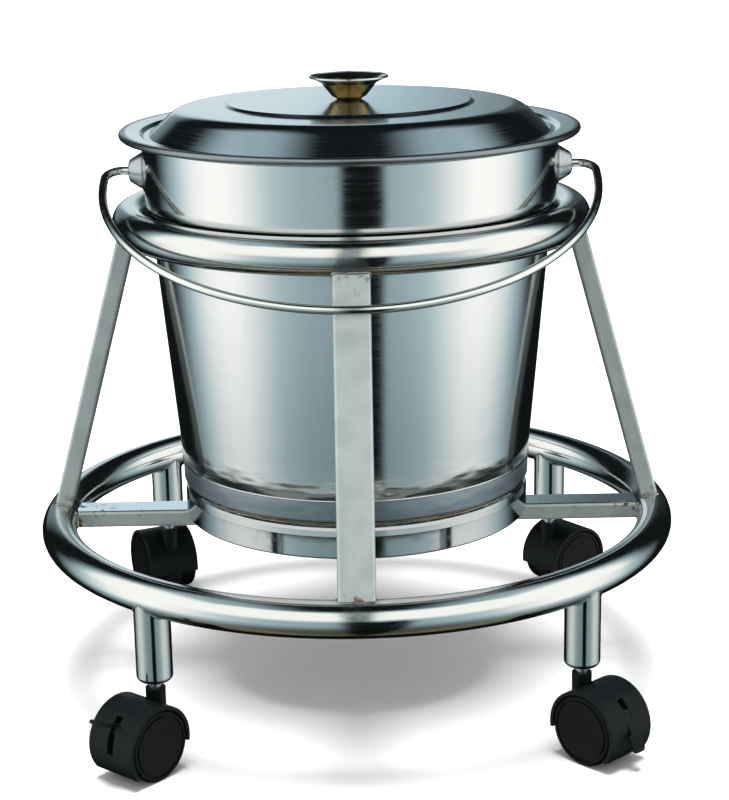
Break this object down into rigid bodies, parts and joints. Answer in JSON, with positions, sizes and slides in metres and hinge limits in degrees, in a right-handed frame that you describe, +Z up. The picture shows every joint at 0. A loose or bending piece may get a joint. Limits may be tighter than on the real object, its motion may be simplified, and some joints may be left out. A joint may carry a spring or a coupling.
{
  "type": "kick bucket",
  "caption": "Round lidded steel bucket with a swing bail in a tapered tube stand, with a bumper ring below and swivelling twin-wheel castors, some with foot brakes.",
  "frame": {"origin": "on the floor under the bucket's axis", "axes": "+Z up, +X to the right when facing the upright on which the bail rests, -Y to the front"},
  "size_m": [0.4699, 0.47, 0.4493],
  "materials": {
    "ring_tube": "round stainless tube, polished, with heat tint at the welds",
    "bar_tube": "rectangular stainless tube, satin, scuffed",
    "leg_tube": "stainless tube, polished, spun-in end",
    "socket": "moulded black sleeve",
    "bucket_sheet": "spun stainless sheet, satin with polished bands",
    "foot_sheet": "pressed stainless foot ring, satin",
    "ear_sheet": "pressed stainless cup, satin",
    "wire": "drawn stainless wire, polished",
    "lid_sheet": "pressed stainless sheet, polished with fine turning marks",
    "knob_sheet": "spun stainless cup, polished, slightly straw-coloured",
    "fastener": "stainless fastener, bright",
    "hood_nylon": "moulded black nylon, fine grain",
    "wheel_nylon": "moulded black nylon, satin disc",
    "lever_nylon": "moulded black nylon",
    "stem_steel": "turned steel, zinc plated"
  },
  "bodies": {
    "stand": {"lower_ring": "ring_tube", "upper_ring": "ring_tube", "upright_right": "bar_tube", "upright_back": "bar_tube", "upright_left": "bar_tube", "upright_front": "bar_tube", "cross_bar_long": "bar_tube", "cross_bar_front": "bar_tube", "cross_bar_back": "bar_tube", "leg_front_left": "leg_tube", "leg_front_right": "leg_tube", "leg_back_right": "leg_tube", "leg_back_left": "leg_tube", "leg_socket_front_left": "socket", "leg_socket_front_right": "socket", "leg_socket_back_right": "socket", "leg_socket_back_left": "socket"},
    "bucket": {"bucket_shell": "bucket_sheet", "foot_skirt": "foot_sheet", "ear_left": "ear_sheet", "ear_right": "ear_sheet"},
    "bail": {"bail_wire": "wire"},
    "lid": {"lid_shell": "lid_sheet", "lid_knob": "knob_sheet", "knob_screw": "fastener", "knob_washer": "fastener", "knob_nut": "fastener"},
    "castor_front_left": {"castor_front_left_hood": "hood_nylon", "castor_front_left_stem": "stem_steel", "castor_front_left_axle": "stem_steel"},
    "castor_front_left_wheel_right": {"castor_front_left_wheel_right": "wheel_nylon"},
    "castor_front_left_wheel_left": {"castor_front_left_wheel_left": "wheel_nylon"},
    "castor_front_left_brake_lever": {"castor_front_left_brake_lever": "lever_nylon"},
    "castor_front_right": {"castor_front_right_hood": "hood_nylon", "castor_front_right_stem": "stem_steel", "castor_front_right_axle": "stem_steel"},
    "castor_front_right_wheel_right": {"castor_front_right_wheel_right": "wheel_nylon"},
    "castor_front_right_wheel_left": {"castor_front_right_wheel_left": "wheel_nylon"},
    "castor_front_right_brake_lever": {"castor_front_right_brake_lever": "lever_nylon"},
    "castor_back_right": {"castor_back_right_hood": "hood_nylon", "castor_back_right_stem": "stem_steel", "castor_back_right_axle": "stem_steel"},
    "castor_back_right_wheel_right": {"castor_back_right_wheel_right": "wheel_nylon"},
    "castor_back_right_wheel_left": {"castor_back_right_wheel_left": "wheel_nylon"},
    "castor_back_left": {"castor_back_left_hood": "hood_nylon", "castor_back_left_stem": "stem_steel", "castor_back_left_axle": "stem_steel"},
    "castor_back_left_wheel_right": {"castor_back_left_wheel_right": "wheel_nylon"},
    "castor_back_left_wheel_left": {"castor_back_left_wheel_left": "wheel_nylon"}
  },
  "joints": [
    {"name": "bucket_lift", "type": "slide", "parent": "stand", "child": "bucket", "axis": [0, 0, 1], "range_m": [0, 0.3]},
    {"name": "bail_swing", "type": "hinge", "parent": "bucket", "child": "bail", "pos_m": [0, 0, 0.38365], "axis": [-1, 0, 0], "range_deg": [0, 218.61]},
    {"name": "lid_lift", "type": "slide", "parent": "bucket", "child": "lid", "axis": [0, 0, 1], "range_m": [0, 0.12]},
    {"name": "castor_front_left_swivel", "type": "hinge", "parent": "stand", "child": "castor_front_left", "pos_m": [-0.13839, -0.17397, 0.06], "axis": [0, 0, 1], "continuous": true},
    {"name": "castor_front_left_wheel_right_spin", "type": "hinge", "parent": "castor_front_left", "child": "castor_front_left_wheel_right", "pos_m": [-0.1492, -0.18709, 0.025], "axis": [-0.7716, 0.6361, 0], "continuous": true},
    {"name": "castor_front_left_wheel_left_spin", "type": "hinge", "parent": "castor_front_left", "child": "castor_front_left_wheel_left", "pos_m": [-0.1492, -0.18709, 0.025], "axis": [-0.7716, 0.6361, 0], "continuous": true},
    {"name": "castor_front_left_brake_lever_tip", "type": "hinge", "parent": "castor_front_left", "child": "castor_front_left_brake_lever", "pos_m": [-0.1608, -0.20116, 0.03639], "axis": [-0.7716, 0.6361, 0], "range_deg": [-86, 0]},
    {"name": "castor_front_right_swivel", "type": "hinge", "parent": "stand", "child": "castor_front_right", "pos_m": [0.15302, -0.16125, 0.06], "axis": [0, 0, 1], "continuous": true},
    {"name": "castor_front_right_wheel_right_spin", "type": "hinge", "parent": "castor_front_right", "child": "castor_front_right_wheel_right", "pos_m": [0.16451, -0.17378, 0.025], "axis": [-0.7373, -0.6756, 0], "continuous": true},
    {"name": "castor_front_right_wheel_left_spin", "type": "hinge", "parent": "castor_front_right", "child": "castor_front_right_wheel_left", "pos_m": [0.16451, -0.17378, 0.025], "axis": [-0.7373, -0.6756, 0], "continuous": true},
    {"name": "castor_front_right_brake_lever_tip", "type": "hinge", "parent": "castor_front_right", "child": "castor_front_right_brake_lever", "pos_m": [0.17682, -0.18723, 0.03639], "axis": [-0.7373, -0.6756, 0], "range_deg": [0, 86]},
    {"name": "castor_back_right_swivel", "type": "hinge", "parent": "stand", "child": "castor_back_right", "pos_m": [0.15991, 0.15442, 0.06], "axis": [0, 0, 1], "continuous": true},
    {"name": "castor_back_right_wheel_right_spin", "type": "hinge", "parent": "castor_back_right", "child": "castor_back_right_wheel_right", "pos_m": [0.1733, 0.16489, 0.025], "axis": [0.6157, -0.788, 0], "continuous": true},
    {"name": "castor_back_right_wheel_left_spin", "type": "hinge", "parent": "castor_back_right", "child": "castor_back_right_wheel_left", "pos_m": [0.1733, 0.16489, 0.025], "axis": [0.6157, -0.788, 0], "continuous": true},
    {"name": "castor_back_left_swivel", "type": "hinge", "parent": "stand", "child": "castor_back_left", "pos_m": [-0.15856, 0.15581, 0.06], "axis": [0, 0, 1], "continuous": true},
    {"name": "castor_back_left_wheel_right_spin", "type": "hinge", "parent": "castor_back_left", "child": "castor_back_left_wheel_right", "pos_m": [-0.16587, 0.17116, 0.025], "axis": [0.9026, 0.4305, 0], "continuous": true},
    {"name": "castor_back_left_wheel_left_spin", "type": "hinge", "parent": "castor_back_left", "child": "castor_back_left_wheel_left", "pos_m": [-0.16587, 0.17116, 0.025], "axis": [0.9026, 0.4305, 0], "continuous": true}
  ]
}
